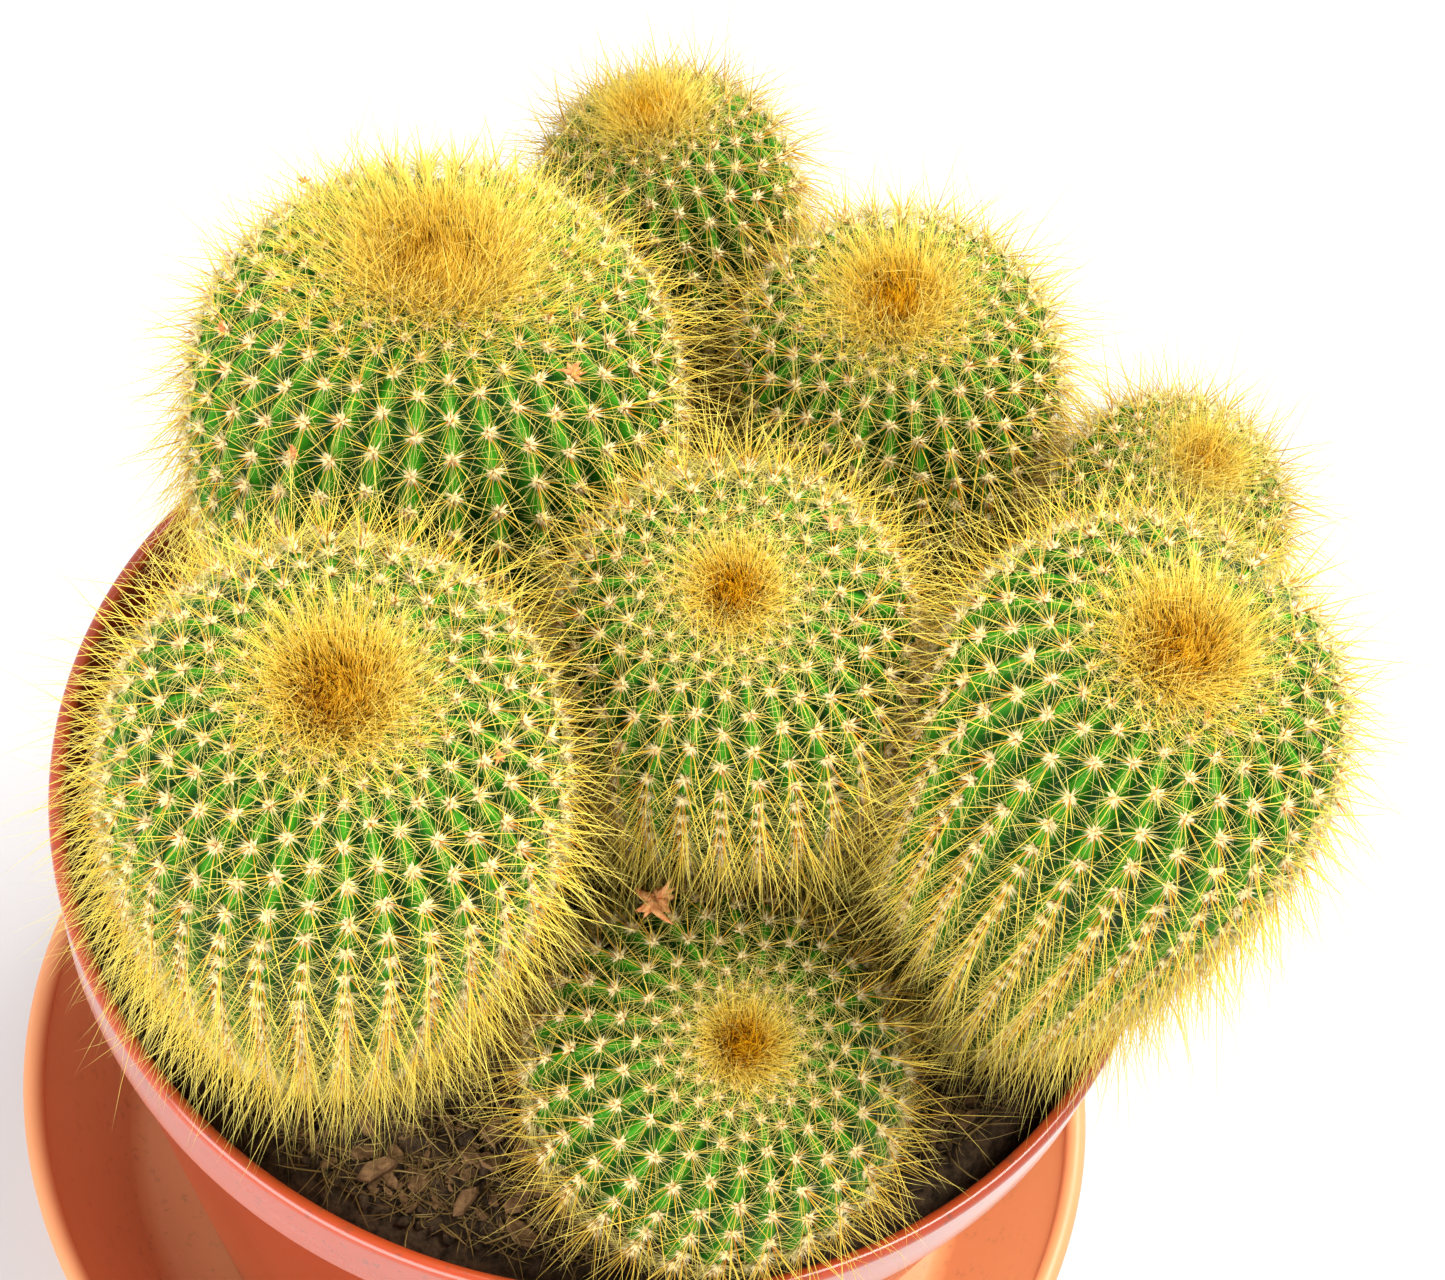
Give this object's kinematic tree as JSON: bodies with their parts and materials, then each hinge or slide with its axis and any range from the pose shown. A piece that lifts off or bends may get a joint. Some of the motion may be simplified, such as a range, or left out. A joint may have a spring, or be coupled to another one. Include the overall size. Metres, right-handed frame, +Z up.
{
  "type": "potted round cactus",
  "caption": "Clump of round ribbed cacti with golden spines, planted in a tapered plastic pot that stands on a round saucer.",
  "frame": {"origin": "centre of the saucer's underside, on the surface it rests on", "axes": "+Z up; the front, where the shortest stem stands, faces -Y; +X to the right seen from the front"},
  "size_m": [0.1863, 0.1846, 0.2166],
  "materials": {
    "saucer_plastic": "satin terracotta-coloured plastic",
    "pot_plastic": "glossy brick-red plastic",
    "soil": "rough dark peat with bark fibres",
    "bark": "rough fibrous bark",
    "cactus_skin": "waxy green skin, darker in the furrows",
    "areole_wool": "cream felted wool",
    "spines": "translucent golden-yellow bristles"
  },
  "bodies": {
    "root": {"saucer": "saucer_plastic", "pot": "pot_plastic", "soil": "soil", "stem_back": "cactus_skin", "stem_back_left": "cactus_skin", "stem_back_right": "cactus_skin", "stem_far_right": "cactus_skin", "stem_front_left": "cactus_skin", "stem_centre": "cactus_skin", "stem_right": "cactus_skin", "stem_front": "cactus_skin", "crown_tuft_back": "spines", "crown_tuft_back_left": "spines", "crown_tuft_back_right": "spines", "crown_tuft_far_right": "spines", "crown_tuft_front_left": "spines", "crown_tuft_centre": "spines", "crown_tuft_right": "spines", "crown_tuft_front": "spines", "bark_chip_1": "bark", "bark_chip_2": "bark", "bark_chip_3": "bark", "bark_chip_4": "bark", "bark_chip_5": "bark"}
  },
  "joints": []
}
